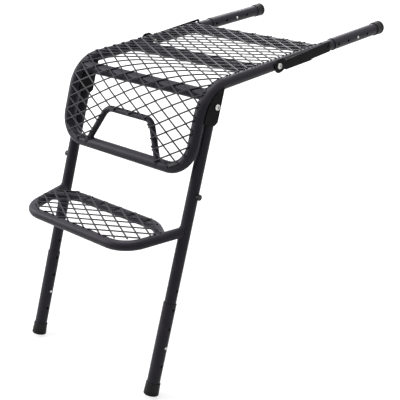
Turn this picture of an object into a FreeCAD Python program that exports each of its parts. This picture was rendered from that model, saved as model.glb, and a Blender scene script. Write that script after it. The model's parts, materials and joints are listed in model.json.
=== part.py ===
import FreeCAD, Part
import math
import os
import re
import Sketcher
from FreeCAD import Placement, Rotation, Vector

# Folding tyre step: a tube frame that hooks over a car tyre, with two legs, a lower step and two arms.
# +X is the user's right, +Y points over the tyre, +Z is up.
# The origin lies on the underside of the arms, midway along the stretch that bears on the tyre.

doc = FreeCAD.newDocument("TyreStep")

# Driving sizes in millimetres and degrees
SIZES = [
    ("tyre_reach", 558, "nose corner to the middle of the bearing stretch of the arms"),
    ("frame_tube", 25.4, "outside diameter of rails, panel and crossbars"),
    ("frame_wall", 1.6, "wall of the frame tube"),
    ("weld_gap", 0.15, "root gap left in a welded joint"),
    ("rail_spacing", 380, "between the axes of the two rails"),
    ("rail_length", 405, "nose corner to the open end of a rail"),
    ("nose_radius", 80, "bend between rail and front panel, on the tube axis"),
    ("panel_lean", 20.2, "lean of front panel and legs from the vertical"),
    ("panel_drop", 173, "nose corner to the axis of the panel's bottom bar"),
    ("panel_corner", 58, "bend at the panel's bottom corners"),
    ("corner_stub", 18, "straight stretch above a bottom corner, up to the joint"),
    ("mid_bar_at", 174, "nose corner to the middle crossbar"),
    ("rear_bar_at", 392, "nose corner to the rear crossbar"),
    ("handle_tube", 14, "diameter of the carrying handle"),
    ("handle_wall", 1.5, "wall of the handle tube"),
    ("handle_drop", 86.5, "nose corner to the grip, along the panel"),
    ("handle_top", 135, "width between the grip's corners"),
    ("handle_foot", 220, "width between the handle's feet"),
    ("handle_bend", 26, "bend of the handle on its axis"),
    ("mesh_sheet", 2.5, "thickness of the expanded mesh"),
    ("mesh_strand", 3.0, "width of a mesh strand"),
    ("mesh_columns", 8, "diamonds across the platform"),
    ("mesh_pitch", 28.1, "short way of a diamond"),
    ("mesh_aside", 3.8, "platform and panel: a strand crossing to the right of the middle"),
    ("mesh_along", -3.1, "platform and panel: that crossing above the lower end of the nose bend"),
    ("mesh_turn", 0.75, "platform and panel: turn of the pattern on its sheet"),
    ("step_mesh_aside", -5, "step: a strand crossing to the right of the middle"),
    ("step_mesh_along", -3.9, "step: that crossing behind the front bar's axis"),
    ("step_mesh_turn", -0.6, "step: turn of the pattern on its sheet"),
    ("mesh_tail", 4, "mesh behind the axis of the rear crossbar"),
    ("leg_tube", 25.4, "outside diameter of legs and of the arms' inner tubes"),
    ("leg_wall", 1.5, "wall of that tube"),
    ("leg_offset", 31.5, "leg axis behind the panel axis"),
    ("pivot_drop", 30, "nose corner to the leg's bolt, along the panel"),
    ("leg_top", 11.2, "leg above its bolt, and half the width of its rounded top"),
    ("leg_button_at", 524, "leg bolt to the snap button"),
    ("tube_past_button", 26, "inner tube beyond its snap button"),
    ("sleeve_tube", 28.6, "outside diameter of the telescoping sleeves"),
    ("sleeve_wall", 1.2, "wall of the sleeves"),
    ("hole_spacing", 42.5, "spacing of the adjusting holes"),
    ("hole_bore", 6.8, "diameter of the adjusting holes"),
    ("first_hole", 13, "sleeve's end to its first hole"),
    ("leg_sleeve_tail", 63, "leg's sleeve beyond its last hole"),
    ("arm_sleeve_tail", 73, "arm's sleeve beyond its last hole"),
    ("button_bore", 6.4, "diameter of the snap button"),
    ("button_proud", 1.6, "button beyond the sleeve"),
    ("rubber_rim", 32.4, "foot and cap, diameter at the rim"),
    ("rubber_base", 34, "foot and cap, diameter at the end"),
    ("rubber_height", 28, "length of foot and cap"),
    ("rubber_sole", 5, "rubber beyond the sleeve's end"),
    ("rubber_gap", 0.1, "sleeve in its foot or cap, at the side"),
    ("sheet_thickness", 2, "thickness of the leg brackets and arm plates"),
    ("side_gap", 0.4, "bracket or arm plate to the tube beside it"),
    ("bracket_lap", 10, "cheeks of the bracket up beside the rail's tube"),
    ("bracket_below", 39, "bracket below the leg's bolt"),
    ("bracket_back", 12, "bracket behind the leg axis"),
    ("bracket_chamfer", 8, "chamfer of the bracket's lower corner"),
    ("bolt_shank", 8, "diameter of the pivot bolts"),
    ("bolt_gap", 0.05, "bolt in its hole, each side"),
    ("bolt_head", 14, "diameter of the bolt's domed head"),
    ("bolt_head_height", 4, "height of that head"),
    ("bolt_nut", 13, "diameter of the nut's boss"),
    ("leg_nut_height", 3, "height of that boss at the leg"),
    ("arm_nut_height", 6, "height of that boss at the arm"),
    ("arm_pivot_at", 231, "nose corner to the arm's bolt"),
    ("arm_overlap", 25, "arm plate beyond the rail's end"),
    ("arm_knuckle", 15.5, "radius of the arm plate's rounded knuckle"),
    ("arm_front_top", 8.5, "arm plate above the rail axis, behind the knuckle"),
    ("arm_rear_top", 16, "arm plate above the rail axis, at its rear end"),
    ("arm_rear_foot", 9, "arm plate below the rail axis, at its rear end"),
    ("arm_lip_start", 30, "arm bolt to the lip under the rail"),
    ("arm_lip_length", 95, "length of that lip"),
    ("arm_lip_width", 11.5, "width of that lip"),
    ("arm_fold_radius", 4, "outer radius of the fold between plate and lip"),
    ("arm_hole_back", 11, "hole in the arm plate, ahead of its rear end"),
    ("arm_hole_up", 6.5, "that hole above the rail axis"),
    ("arm_hole_bore", 10, "diameter of that hole"),
    ("arm_fold_gap", 6, "rail's end to the arm's inner tube"),
    ("arm_button_past", 149, "rail's end to the arm's snap button"),
    ("step_at", 267.5, "leg bolt to the step's plane, along the leg"),
    ("step_tilt", 2.2, "rise of the step towards its front"),
    ("step_tube", 22.2, "diameter of the lower step's tube"),
    ("step_wall", 1.5, "wall of that tube"),
    ("step_depth", 146, "leg axis to the step's front bar"),
    ("step_front", 309, "width between the step's front corners"),
    ("step_bend", 58, "bend of the step's front corners"),
    ("step_rear_at", 21, "leg axis to the step's rear bar"),
    ("step_rear_flat", 250, "width between the rear bar's bends"),
    ("step_rear_sweep", 35, "turn of the rear bar's ends"),
    ("step_rear_bend", 60, "bend of the rear bar"),
    ("knob_at", 190, "leg bolt to the side knob"),
    ("knob_bore", 13, "diameter of the side knob"),
    ("knob_length", 8, "length of the side knob"),
    ("knob_stem", 6, "diameter of the knob's stem"),
]

sheet = doc.addObject("Spreadsheet::Sheet", "Sizes")
for row, (alias, value, note) in enumerate(SIZES, start=1):
    sheet.set(f"A{row}", note)
    sheet.set(f"B{row}", str(value))
    sheet.setAlias(f"B{row}", alias)
doc.recompute()


def bind(text):
    """An expression over the sheet's sizes, with each size named in full."""
    return re.sub(r"\b([a-z][a-z_]*)\b(?!\()", r"Sizes.\1", text)


def size(text):
    """The present value of an expression over the sheet's sizes."""
    return float(sheet.evalExpression(bind(text)))


# Places that several pieces share, as expressions
RAIL_Z = "sleeve_tube / 2"
NOSE_Y = "-tyre_reach"
PIVOT_Y = "-tyre_reach - sin(panel_lean) * pivot_drop + cos(panel_lean) * leg_offset"
PIVOT_Z = "sleeve_tube / 2 - cos(panel_lean) * pivot_drop - sin(panel_lean) * leg_offset"
STEP_Y = PIVOT_Y + " - sin(panel_lean) * step_at"
STEP_Z = PIVOT_Z + " - cos(panel_lean) * step_at"
ARM_Y = "arm_pivot_at - tyre_reach"
PANEL_TURN = "90 - panel_lean"
SEAT = "frame_tube / 2 + weld_gap"
PANEL_SPLIT = "panel_drop - panel_corner - corner_stub"
NOSE_TANGENT = "nose_radius * tan(45 - panel_lean / 2)"
ARM_LENGTH = "(rail_length + arm_overlap - arm_pivot_at)"
ARM_BUTTON = "(rail_length + arm_button_past - arm_pivot_at)"
LEG_SLEEVE_AT = "leg_button_at - 2 * hole_spacing - first_hole"
ARM_SLEEVE_AT = f"{ARM_BUTTON} - 2 * hole_spacing - first_hole"
HOLE_ROW = "first_hole + 3 * hole_spacing"
PLATE_SEAT = "frame_tube / 2 + side_gap"
CHEEK_SEAT = "leg_tube / 2 + side_gap"
SIDES = {"left": -1, "right": 1}

pieces = []


def keep(piece):
    """List a finished sub-part."""
    pieces.append(piece)
    return piece


def put(piece, x="0", y="0", z="0", turn="0", about=(1, 0, 0)):
    """Bind a sub-part's place, and its turn about an axis, to the sheet."""
    piece.Placement = Placement(Vector(), Rotation(Vector(*about), size(turn)))
    for letter, text in zip("xyz", (x, y, z)):
        piece.setExpression(f"Placement.Base.{letter}", bind(text))
    if turn != "0":
        piece.setExpression("Placement.Rotation.Angle", bind(turn))
    return keep(piece)


def new_body(label):
    """An empty body named for its piece."""
    body = doc.addObject("PartDesign::Body", label)
    body.Label = label
    return body


def sketch_on(body, role, offset="0"):
    """A sketch on one of the body's own planes, moved along its normal."""
    plane = next(item for item in body.Origin.OriginFeatures if item.Role == role)
    sketch = body.newObject("Sketcher::SketchObject", f"{body.Name}_outline")
    sketch.AttachmentSupport = [(plane, "")]
    sketch.MapMode = "FlatFace"
    if offset != "0":
        sketch.setExpression("AttachmentOffset.Base.z", bind(offset))
    return sketch


def dimension(sketch, kind, text, *where):
    """Add a dimension to a sketch and bind it to the sheet."""
    index = sketch.addConstraint(Sketcher.Constraint(kind, *where, size(text)))
    sketch.setExpression(f"Constraints[{index}]", bind(text))


def pin(sketch, item, point, x, y):
    """Fix a point of a sketch by its two coordinates."""
    dimension(sketch, "DistanceX", x, -1, 1, item, point)
    dimension(sketch, "DistanceY", y, -1, 1, item, point)


def circle(sketch, x, y, diameter):
    """Draw a dimensioned circle."""
    centre = Vector(size(x), size(y), 0)
    item = sketch.addGeometry(Part.Circle(centre, Vector(0, 0, 1), size(diameter) / 2))
    dimension(sketch, "Diameter", diameter, item)
    pin(sketch, item, 3, x, y)


def ring(sketch, x, y, diameter, wall):
    """Draw the section of a tube."""
    circle(sketch, x, y, diameter)
    circle(sketch, x, y, f"{diameter} - 2 * {wall}")


def draw(sketch, corners, closed):
    """Draw straight runs through corners (x, y) or rounded corners (x, y, radius)."""
    count = len(corners)
    points = [Vector(size(corner[0]), size(corner[1]), 0) for corner in corners]
    reach = {}
    for index, corner in enumerate(corners):
        if len(corner) == 3:
            before = (points[index - 1] - points[index]).normalize()
            after = (points[(index + 1) % count] - points[index]).normalize()
            half = before.getAngle(after) / 2
            radius = size(corner[2])
            centre = points[index] + (before + after).normalize() * (radius / math.sin(half))
            reach[index] = (before, after, radius / math.tan(half), centre, radius)

    def leaving(index):
        if index in reach:
            return points[index] + reach[index][1] * reach[index][2]
        return points[index]

    def arriving(index):
        if index in reach:
            return points[index] + reach[index][0] * reach[index][2]
        return points[index]

    runs = {}
    for index in range(count if closed else count - 1):
        line = Part.LineSegment(leaving(index), arriving((index + 1) % count))
        runs[index] = sketch.addGeometry(line)
    for index, corner in enumerate(corners):
        inward = runs.get((index - 1) % count)
        outward = runs.get(index)
        if index in reach:
            before, after, tangent, centre, radius = reach[index]
            left_turn = before.cross(after).z < 0
            start, end = (arriving(index), leaving(index)) if left_turn else (leaving(index), arriving(index))
            angles = [math.atan2(point.y - centre.y, point.x - centre.x) for point in (start, end)]
            round_edge = Part.Circle(centre, Vector(0, 0, 1), radius)
            arc = sketch.addGeometry(Part.ArcOfCircle(round_edge, *angles))
            first, last = (1, 2) if left_turn else (2, 1)
            sketch.addConstraint(Sketcher.Constraint("Tangent", inward, 2, arc, first))
            sketch.addConstraint(Sketcher.Constraint("Tangent", arc, last, outward, 1))
            dimension(sketch, "Radius", corner[2], arc)
            point = sketch.addGeometry(Part.Point(points[index]), True)
            sketch.addConstraint(Sketcher.Constraint("PointOnObject", point, 1, inward))
            sketch.addConstraint(Sketcher.Constraint("PointOnObject", point, 1, outward))
            pin(sketch, point, 1, *corner[:2])
        elif outward is None:
            pin(sketch, inward, 2, *corner[:2])
        else:
            if inward is not None:
                sketch.addConstraint(Sketcher.Constraint("Coincident", inward, 2, outward, 1))
            pin(sketch, outward, 1, *corner[:2])


def pad(body, sketch, length, both_ways=False, reverse=False):
    """Extrude a sketch along its normal."""
    feature = body.newObject("PartDesign::Pad", f"{body.Name}_pad")
    feature.Profile = sketch
    feature.SideType = "Symmetric" if both_ways else "One side"
    feature.Reversed = reverse
    feature.setExpression("Length", bind(length))
    return feature


def checked_cut(body, feature):
    """Recompute a body and make sure that its newest cut took material away."""
    before = feature.BaseFeature.Shape.Volume
    doc.recompute()
    if not feature.Shape.Volume < before:
        raise RuntimeError(f"{feature.Name} cuts nothing")
    return feature


def pocket(body, sketch, length=None, side=0):
    """Cut a sketch both ways along its normal, or to one side only, right through or to a total length."""
    doc.recompute()
    feature = body.newObject("PartDesign::Pocket", f"{body.Name}_pocket")
    feature.Profile = sketch
    feature.SideType = "One side" if side else "Symmetric"
    feature.Reversed = side > 0
    if length is None:
        feature.Type = "ThroughAll"
    else:
        feature.setExpression("Length", bind(length))
    return checked_cut(body, feature)


def revolve(body, sketch, role):
    """Turn a half section about one of the body's own axes."""
    feature = body.newObject("PartDesign::Revolution", f"{body.Name}_turned")
    feature.Profile = sketch
    axis = next(item for item in body.Origin.OriginFeatures if item.Role == role)
    feature.ReferenceAxis = (axis, [""])
    feature.Angle = 360
    return feature


def bent_tube(body, role, corners, diameter, wall, offset="0"):
    """Carry a tube section along a path with rounded corners."""
    spine = sketch_on(body, role, offset)
    draw(spine, corners, closed=False)
    doc.recompute()
    section = body.newObject("Sketcher::SketchObject", f"{body.Name}_section")
    section.AttachmentSupport = [(spine, "Edge1")]
    section.MapMode = "NormalToEdge"
    ring(section, "0", "0", diameter, wall)
    doc.recompute()
    pipe = body.newObject("PartDesign::AdditivePipe", f"{body.Name}_pipe")
    pipe.Profile = section
    pipe.Spine = (spine, [f"Edge{index + 1}" for index in range(len(spine.Shape.Edges))])
    return pipe


def straight_tube(body, role, diameter, wall, length, start="0", both_ways=False, reverse=False):
    """Extrude a tube section."""
    section = sketch_on(body, role, start)
    ring(section, "0", "0", diameter, wall)
    return pad(body, section, length, both_ways, reverse)


def side_rail(label, side):
    """Rail, nose bend and upper panel side, bent from one tube."""
    body = new_body(label)
    path = [
        ("rail_length", "0"),
        ("0", "0", "nose_radius"),
        (f"-sin(panel_lean) * ({PANEL_SPLIT})", f"-cos(panel_lean) * ({PANEL_SPLIT})"),
    ]
    bent_tube(body, "YZ_Plane", path, "frame_tube", "frame_wall")
    bolt_hole = sketch_on(body, "YZ_Plane")
    circle(bolt_hole, "arm_pivot_at", "0", "bolt_shank + 2 * bolt_gap")
    pocket(body, bolt_hole)
    return put(body, f"{side} * rail_spacing / 2", NOSE_Y, RAIL_Z)


def panel_bottom_bar():
    """Bottom bar of the front panel with its two bent corners."""
    body = new_body("panel_bottom_bar")
    path = [
        ("-rail_spacing / 2", f"-({PANEL_SPLIT})"),
        ("-rail_spacing / 2", "-panel_drop", "panel_corner"),
        ("rail_spacing / 2", "-panel_drop", "panel_corner"),
        ("rail_spacing / 2", f"-({PANEL_SPLIT})"),
    ]
    bent_tube(body, "XY_Plane", path, "frame_tube", "frame_wall")
    return put(body, "0", NOSE_Y, RAIL_Z, PANEL_TURN)


def straight_crossbar(label, distance):
    """Crossbar between the straight rails, its ends coped round them."""
    body = new_body(label)
    straight_tube(body, "YZ_Plane", "frame_tube", "frame_wall", "rail_spacing", both_ways=True)
    copes = sketch_on(body, "XZ_Plane")
    for end in SIDES.values():
        circle(copes, f"{end} * rail_spacing / 2", "0", f"2 * ({SEAT})")
    pocket(body, copes)
    return put(body, "0", f"{distance} - tyre_reach", RAIL_Z)


def front_crossbar():
    """Crossbar in the middle of the nose bend, coped by the bend's own ring."""
    body = new_body("front_crossbar")
    straight_tube(body, "YZ_Plane", "frame_tube", "frame_wall", "rail_spacing", both_ways=True)
    copes = sketch_on(body, "XZ_Plane")
    for end in SIDES.values():
        circle(copes, f"{end} * rail_spacing / 2", "0", f"2 * ({SEAT})")
    axis = bend_axis(copes)
    doc.recompute()
    groove = body.newObject("PartDesign::Groove", "front_crossbar_cope")
    groove.Profile = copes
    groove.ReferenceAxis = (copes, [axis])
    groove.Angle = 360
    checked_cut(body, groove)
    fall = "nose_radius * (1 / cos(45 - panel_lean / 2) - 1)"
    along = f"{fall} * sin(45 - panel_lean / 2)"
    down = f"{fall} * cos(45 - panel_lean / 2)"
    return put(body, "0", f"{along} - tyre_reach", f"sleeve_tube / 2 - {down}", "45 - panel_lean / 2")


def bend_axis(sketch):
    """A construction line along the axis of the nose bend, below the sketch's zero, to turn about."""
    radius = size("nose_radius")
    line = sketch.addGeometry(Part.LineSegment(Vector(0, -radius, 0), Vector(radius, -radius, 0)), True)
    sketch.addConstraint(Sketcher.Constraint("Horizontal", line))
    pin(sketch, line, 1, "0", "-nose_radius")
    dimension(sketch, "DistanceX", "nose_radius", line, 1, line, 2)
    return "Axis0"


def handle_tube():
    """Carrying handle bent from thin tube, flush with the panel's face, its feet on the bottom bar."""
    body = new_body("handle_tube")
    path = [
        ("-handle_foot / 2", "-panel_drop"),
        ("-handle_top / 2", "-handle_drop", "handle_bend"),
        ("handle_top / 2", "-handle_drop", "handle_bend"),
        ("handle_foot / 2", "-panel_drop"),
    ]
    forward = "(frame_tube - handle_tube) / 2"
    bent_tube(body, "XY_Plane", path, "handle_tube", "handle_wall", forward)
    bar = sketch_on(body, "YZ_Plane")
    circle(bar, "-panel_drop", "0", f"2 * ({SEAT})")
    pocket(body, bar)
    return put(body, "0", NOSE_Y, RAIL_Z, PANEL_TURN)


def round_path(corners):
    """Closed wire through corners (x, y) or rounded corners (x, y, radius), in numbers."""
    count = len(corners)
    edges = []
    ends = []
    for index, corner in enumerate(corners):
        here = Vector(corner[0], corner[1], 0)
        before = (Vector(*corners[index - 1][:2], 0) - here).normalize()
        after = (Vector(*corners[(index + 1) % count][:2], 0) - here).normalize()
        if len(corner) == 3:
            half = before.getAngle(after) / 2
            tangent = corner[2] / math.tan(half)
            middle = here + (before + after).normalize() * (corner[2] / math.sin(half) - corner[2])
            edges.append(Part.Arc(here + before * tangent, middle, here + after * tangent).toShape())
            ends.append((here + before * tangent, here + after * tangent))
        else:
            ends.append((here, here))
    for index in range(count):
        start, end = ends[index][1], ends[(index + 1) % count][0]
        if (end - start).Length > 1e-6:
            edges.append(Part.LineSegment(start, end).toShape())
    return Part.Wire(Part.__sortEdges__(edges))


def diamond_holes(low, high, half_width, pattern):
    """Centres (x, t) of the mesh's holes between two distances t along the unrolled sheet."""
    half_long = size("rail_spacing / mesh_columns / 2")
    half_short = size("mesh_pitch / 2")
    turn = Rotation(Vector(0, 0, 1), -size(f"{pattern}_turn"))
    aside = size(f"{pattern}_aside")
    ahead = size(f"{pattern}_along")
    columns = math.ceil(half_width / half_long) + 2
    for row in range(math.floor((low - ahead) / half_short) - 2, math.ceil((high - ahead) / half_short) + 3):
        for column in range(-columns, columns + 1):
            if (row + column) % 2:
                yield turn.multVec(Vector(aside + column * half_long, ahead + row * half_short, 0))


def diamond(centre, pattern):
    """Outline of one hole of the mesh: the diamond less half a strand on each side."""
    half_long = size("rail_spacing / mesh_columns / 2")
    half_short = size("mesh_pitch / 2")
    shrink = 1 - size("mesh_strand / 2") * math.hypot(half_long, half_short) / (half_long * half_short)
    turn = Rotation(Vector(0, 0, 1), -size(f"{pattern}_turn"))
    across = turn.multVec(Vector(half_long * shrink, 0, 0))
    along = turn.multVec(Vector(0, half_short * shrink, 0))
    return Part.makePolygon([centre + across, centre + along, centre - across, centre - along, centre + across])


def flat_mesh(outline, shift, pattern, openings=()):
    """Expanded sheet cut to an outline; shift is the outline's zero along the unrolled sheet."""
    face = Part.Face(outline)
    box = face.BoundBox
    half_width = max(abs(box.XMin), abs(box.XMax))
    holes = []
    for centre in diamond_holes(box.YMin + shift, box.YMax + shift, half_width, pattern):
        holes.append(Part.Face(diamond(centre - Vector(0, shift, 0), pattern)))
    holes += [Part.Face(opening) for opening in openings]
    sheet_face = face.cut(holes)
    largest = max(sheet_face.Faces, key=lambda item: item.Area)
    return largest.extrude(Vector(0, 0, size("mesh_sheet")))


def mesh_piece(label, shape, place):
    """A mesh sheet as a piece of its own."""
    piece = doc.addObject("Part::Feature", label)
    piece.Label = label
    piece.Shape = shape
    piece.Placement = place
    return keep(piece)


def nose_place():
    """Frame of the nose corner."""
    return Placement(Vector(0, size(NOSE_Y), size(RAIL_Z)), Rotation())


def nose_arc():
    """Length of the mesh round the nose, halfway through its thickness."""
    return math.radians(size(PANEL_TURN)) * size(f"nose_radius + {SEAT} + mesh_sheet / 2")


def platform_mesh():
    """Flat mesh on the rails, from the nose bend to the rear crossbar."""
    half = size("rail_spacing / 2")
    front = 0
    back = size(f"rear_bar_at + mesh_tail - {NOSE_TANGENT}")
    outline = round_path([(-half, front), (half, front), (half, back), (-half, back)])
    place = Placement(Vector(0, size(NOSE_TANGENT), size(SEAT)), Rotation())
    return mesh_piece("platform_mesh", flat_mesh(outline, nose_arc(), "mesh"), nose_place() * place)


def panel_mesh():
    """Flat mesh on the front panel, cut out inside the handle."""
    half = size("rail_spacing / 2")
    top = -size(NOSE_TANGENT)
    bottom = -size("panel_drop")
    corner = size("panel_corner")
    outline = round_path([(-half, top), (-half, bottom, corner), (half, bottom, corner), (half, top)])
    grip = size("handle_top / 2")
    foot = size("handle_foot / 2")
    rise = -size("handle_drop")
    bend = size("handle_bend")
    grip_hole = round_path([(-foot, bottom), (-grip, rise, bend), (grip, rise, bend), (foot, bottom)])
    shape = flat_mesh(outline, size(NOSE_TANGENT), "mesh", [grip_hole])
    turn = Placement(Vector(), Rotation(Vector(1, 0, 0), size(PANEL_TURN)))
    return mesh_piece("panel_mesh", shape, nose_place() * turn * Placement(Vector(0, 0, size(SEAT)), Rotation()))


def nose_mesh():
    """Mesh rolled round the nose bend: a curved sheet cut by diamonds set square to it."""
    half = size("rail_spacing / 2")
    inner = size(f"nose_radius + {SEAT}")
    middle = inner + size("mesh_sheet / 2")
    outer = inner + size("mesh_sheet")
    turn = size(PANEL_TURN)
    across = Vector(1, 0, 0)
    start = Vector(-half, 0, 0)
    ring_wall = Part.makeCylinder(outer, 2 * half, start, across, turn)
    ring_wall = ring_wall.cut(Part.makeCylinder(inner, 2 * half, start, across, turn))
    cutters = []
    depth = size("mesh_sheet")
    for centre in diamond_holes(0, nose_arc(), half, "mesh"):
        on_axis = Vector(centre.x, 0, 0)
        hole = Part.Face(diamond(on_axis, "mesh")).extrude(Vector(0, 0, 4 * depth))
        hole.translate(Vector(0, 0, middle - 2 * depth))
        hole.rotate(Vector(), across, turn - math.degrees(centre.y / middle))
        cutters.append(hole)
    middle_of_wall = ring_wall.Solids[0].CenterOfMass
    lift = 90 + turn / 2 - math.degrees(math.atan2(middle_of_wall.z, middle_of_wall.y))
    ring_wall.rotate(Vector(), across, lift)
    sheet_solid = max(ring_wall.cut(cutters).Solids, key=lambda item: item.Volume)
    bend = Placement(Vector(0, size(NOSE_TANGENT), -size("nose_radius")), Rotation())
    return mesh_piece("nose_mesh", sheet_solid, nose_place() * bend)


def leg_bracket(label, side):
    """Folded bracket: cheeks that lap the nose bend, the inner one coped, and a web on the panel tube."""
    body = new_body(label)
    cheeks = sketch_on(body, "YZ_Plane")
    front = "(frame_tube / 2 - bracket_lap)"
    back = "(leg_offset + bracket_back)"
    foot = "-pivot_drop - bracket_below"
    centre_z = f"-{NOSE_TANGENT}"
    radius = f"(nose_radius - {front})"
    crown = f"{centre_z} + sqrt({radius}^2 - (nose_radius - {back})^2)"
    corners = [
        (front, foot),
        (front, centre_z),
        (back, crown),
        (back, f"{foot} + bracket_chamfer"),
        (f"{back} - bracket_chamfer", foot),
    ]
    draw_cheek(cheeks, corners, ("nose_radius", centre_z), radius)
    inside = f"2 * ({CHEEK_SEAT})"
    pad(body, cheeks, f"{inside} + 2 * sheet_thickness", both_ways=True)
    clear = sketch_on(body, "YZ_Plane")
    web_front = SEAT
    web_back = f"{SEAT} + sheet_thickness"
    web_top = centre_z
    beyond = f"{back} + sheet_thickness"
    below = f"{foot} - sheet_thickness"
    before = f"{front} - sheet_thickness"
    over = f"{crown} + sheet_thickness"
    draw(clear, [(web_back, below), (beyond, below), (beyond, over), (before, over), (before, below),
                 (web_front, below), (web_front, web_top), (web_back, web_top)], closed=True)
    pocket(body, clear, inside)
    cope = sketch_on(body, "YZ_Plane")
    half_turn = "45 - panel_lean / 2"
    bar_y = f"nose_radius * (1 - cos({half_turn}))"
    bar_z = f"{centre_z} + nose_radius * sin({half_turn})"
    circle(cope, bar_y, bar_z, f"2 * ({SEAT})")
    pocket(body, cope, side=-side)
    bolt_hole = sketch_on(body, "YZ_Plane")
    circle(bolt_hole, "leg_offset", "-pivot_drop", "bolt_shank + 2 * bolt_gap")
    pocket(body, bolt_hole)
    return put(body, f"{side} * rail_spacing / 2", NOSE_Y, RAIL_Z, "-panel_lean")


def draw_cheek(sketch, corners, centre, radius):
    """Draw a closed outline whose second side, between corners 1 and 2, is an arc about a centre."""
    places = [Vector(size(x), size(y), 0) for x, y in corners]
    middle = Vector(size(centre[0]), size(centre[1]), 0)
    angles = [math.atan2(place.y - middle.y, place.x - middle.x) for place in (places[2], places[1])]
    bend = Part.ArcOfCircle(Part.Circle(middle, Vector(0, 0, 1), size(radius)), *angles)
    sides = []
    for index, place in enumerate(places):
        line = Part.LineSegment(place, places[(index + 1) % len(places)])
        sides.append(sketch.addGeometry(bend if index == 1 else line))
    for index, side in enumerate(sides):
        following = (index + 1) % len(sides)
        end = 1 if index == 1 else 2
        start = 2 if following == 1 else 1
        sketch.addConstraint(Sketcher.Constraint("Coincident", side, end, sides[following], start))
    pin(sketch, sides[1], 3, *centre)
    dimension(sketch, "Radius", radius, sides[1])
    dimension(sketch, "DistanceX", corners[2][0], -1, 1, sides[2], 1)
    dimension(sketch, "DistanceY", corners[1][1], -1, 1, sides[0], 2)
    for index in (0, 3, 4):
        pin(sketch, sides[index], 1, *corners[index])


def pivot_bolt(label, side, head_seat, nut_seat, nut_height, y, z):
    """Bolt with a domed head outside and a nut inside, turned about its axis."""
    body = new_body(label)
    half_section = sketch_on(body, "XY_Plane")
    tip = f"{head_seat} + bolt_head_height"
    nut = f"-({nut_seat}) - {nut_height}"
    draw(half_section, [(nut, "0"), (nut, "bolt_nut / 2"), (f"-({nut_seat})", "bolt_nut / 2"),
                        (f"-({nut_seat})", "bolt_shank / 2"), (head_seat, "bolt_shank / 2"),
                        (head_seat, "bolt_head / 2"), (tip, "bolt_head / 2", "0.8 * bolt_head_height"),
                        (tip, "0")], closed=True)
    revolve(body, half_section, "X_Axis")
    if side > 0:
        return put(body, "rail_spacing / 2", y, z)
    return put(body, "-rail_spacing / 2", y, z, "180", (0, 0, 1))


def leg_tube(label, side):
    """Leg with a rounded top, its bolt hole, a row of button holes and a seat for the knob."""
    body = new_body(label)
    length = "leg_top + leg_button_at + tube_past_button"
    straight_tube(body, "XY_Plane", "leg_tube", "leg_wall", length, start="leg_top", reverse=True)
    shoulders = sketch_on(body, "YZ_Plane")
    turn = "0.9 * leg_top"
    draw(shoulders, [("-leg_top", "0"), ("-leg_top", "leg_top", turn), ("leg_top", "leg_top", turn),
                     ("leg_top", "0"), ("leg_tube", "0"), ("leg_tube", "leg_tube"), ("-leg_tube", "leg_tube"),
                     ("-leg_tube", "0")], closed=True)
    pocket(body, shoulders)
    holes = sketch_on(body, "YZ_Plane")
    circle(holes, "0", "0", "bolt_shank + 2 * bolt_gap")
    for step in range(4):
        circle(holes, "0", f"{step} * hole_spacing - leg_button_at", "hole_bore")
    pocket(body, holes)
    knob_hole = sketch_on(body, "YZ_Plane")
    circle(knob_hole, "0", "-knob_at", "knob_stem + 2 * bolt_gap")
    pocket(body, knob_hole, side=side)
    return put(body, f"{side} * rail_spacing / 2", PIVOT_Y, PIVOT_Z, "-panel_lean")


def drilled_sleeve(body, role, axis_role, start, tail, backwards):
    """Telescoping sleeve with a row of adjusting holes."""
    length = f"{HOLE_ROW} + {tail}"
    straight_tube(body, role, "sleeve_tube", "sleeve_wall", length, start=start, reverse=True)
    hole = sketch_on(body, "YZ_Plane")
    if backwards:
        circle(hole, f"-({start}) + first_hole", "0", "hole_bore")
    else:
        circle(hole, "0", f"{start} - first_hole", "hole_bore")
    first = pocket(body, hole)
    row = body.newObject("PartDesign::LinearPattern", f"{body.Name}_row")
    row.Originals = [first]
    axis = next(item for item in body.Origin.OriginFeatures if item.Role == axis_role)
    row.Direction = (axis, [""])
    row.Reversed = not backwards
    row.setExpression("Length", bind("3 * hole_spacing"))
    row.Occurrences = 4
    body.Tip = row
    before = first.Shape.Volume
    doc.recompute()
    if not row.Shape.Volume < before:
        raise RuntimeError(f"{row.Name} cuts nothing")


def rubber_cup(body, role, axis_role):
    """Rubber foot or cap: a cup that tapers to its rim, with rounded edges."""
    half_section = sketch_on(body, role)
    bore = "sleeve_tube / 2 + rubber_gap"
    rise = "rubber_height - rubber_sole"
    draw(half_section, [("0", "0"), (bore, "0"), (bore, rise), ("rubber_rim / 2", rise),
                        ("rubber_base / 2", "-rubber_sole", "0.6 * rubber_sole"), ("0", "-rubber_sole")], closed=True)
    revolve(body, half_section, axis_role)


def leg_sleeve(label, side):
    """Lower, adjustable part of a leg."""
    body = new_body(label)
    drilled_sleeve(body, "XY_Plane", "Z_Axis", f"-({LEG_SLEEVE_AT})", "leg_sleeve_tail", backwards=False)
    return put(body, f"{side} * rail_spacing / 2", PIVOT_Y, PIVOT_Z, "-panel_lean")


def leg_foot(label, side):
    """Rubber foot on the sleeve's lower end."""
    body = new_body(label)
    rubber_cup(body, "XZ_Plane", "Z_Axis")
    down = f"({LEG_SLEEVE_AT} + {HOLE_ROW} + leg_sleeve_tail)"
    y = f"{PIVOT_Y} - sin(panel_lean) * {down}"
    z = f"{PIVOT_Z} - cos(panel_lean) * {down}"
    return put(body, f"{side} * rail_spacing / 2", y, z, "-panel_lean")


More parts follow.
